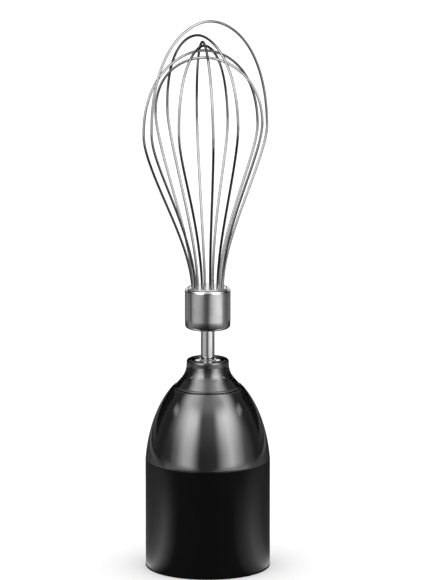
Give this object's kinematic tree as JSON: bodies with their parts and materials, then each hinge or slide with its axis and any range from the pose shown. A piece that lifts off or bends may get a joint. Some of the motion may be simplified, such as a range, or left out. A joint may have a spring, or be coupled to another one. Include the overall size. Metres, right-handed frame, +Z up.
{
  "type": "hand mixer whisk attachment",
  "caption": "Balloon whisk with a steel collar and shaft, plugged into a black domed gear housing whose open skirt takes a motor handle.",
  "frame": {"origin": "centre of the skirt's bottom rim, on the surface that the part stands on", "axes": "+Z up the spindle towards the top of the whisk, -Y towards the front"},
  "size_m": [0.0589, 0.0587, 0.2582],
  "materials": {
    "skirt_plastic": "satin",
    "bell_plastic": "polished",
    "liner_plastic": "matte",
    "core_plastic": "matte",
    "nylon": "matte",
    "cast_zinc": "as cast",
    "gear_steel": "machined",
    "shaft_steel": "ground",
    "collar_steel": "brushed",
    "polished_steel": "polished",
    "wire_steel": "polished",
    "bronze": "sintered",
    "rubber": "matte"
  },
  "bodies": {
    "housing": {"skirt": "skirt_plastic", "socket_liner": "liner_plastic", "bell": "bell_plastic", "nose_piece": "bell_plastic", "nose_retainer": "gear_steel", "seam_seal": "rubber", "base_plate": "cast_zinc", "base_screws": "gear_steel", "input_bush": "bronze", "thrust_washer": "nylon", "ring_gear": "gear_steel", "output_bush": "bronze", "spindle_washer": "nylon", "output_seal": "rubber"},
    "carrier": {"planet_carrier": "nylon", "carrier_plate": "gear_steel", "planet_pins": "gear_steel", "spindle_hub": "gear_steel", "hub_cap": "polished_steel", "shaft_snap_ring": "gear_steel"},
    "input": {"drive_coupling": "nylon", "input_shaft": "gear_steel", "input_washer": "nylon", "input_circlip": "gear_steel", "sun_gear": "gear_steel"},
    "planet_1": {"planet_gear_1": "nylon"},
    "planet_2": {"planet_gear_2": "nylon"},
    "planet_3": {"planet_gear_3": "nylon"},
    "whisk": {"whisk_shaft": "shaft_steel", "whisk_collar": "collar_steel", "collar_core": "core_plastic", "collar_plate": "polished_steel", "cross_pin": "gear_steel", "wire_loop_1": "wire_steel", "wire_loop_2": "wire_steel", "wire_loop_3": "wire_steel", "wire_loop_4": "wire_steel", "wire_loop_5": "wire_steel", "wire_loop_6": "wire_steel"}
  },
  "joints": [
    {"name": "output_spin", "type": "hinge", "parent": "housing", "child": "carrier", "pos_m": [0, 0, 0.06], "axis": [0, 0, 1], "continuous": true},
    {"name": "input_spin", "type": "hinge", "parent": "housing", "child": "input", "pos_m": [0, 0, 0.03], "axis": [0, 0, 1], "continuous": true},
    {"name": "planet_1_spin", "type": "hinge", "parent": "carrier", "child": "planet_1", "pos_m": [0, 0.01187, 0.05], "axis": [0, 0, 1], "continuous": true},
    {"name": "planet_2_spin", "type": "hinge", "parent": "carrier", "child": "planet_2", "pos_m": [-0.01028, -0.00593, 0.05], "axis": [0, 0, 1], "continuous": true},
    {"name": "planet_3_spin", "type": "hinge", "parent": "carrier", "child": "planet_3", "pos_m": [0.01028, -0.00593, 0.05], "axis": [0, 0, 1], "continuous": true},
    {"name": "whisk_pull", "type": "slide", "parent": "carrier", "child": "whisk", "axis": [0, 0, 1], "range_m": [0, 0.03]}
  ],
  "couplings": [
    {"joint": "input_spin", "follows": "output_spin", "ratio": 6},
    {"joint": "planet_1_spin", "follows": "output_spin", "ratio": -2.5},
    {"joint": "planet_2_spin", "follows": "output_spin", "ratio": -2.5},
    {"joint": "planet_3_spin", "follows": "output_spin", "ratio": -2.5}
  ]
}
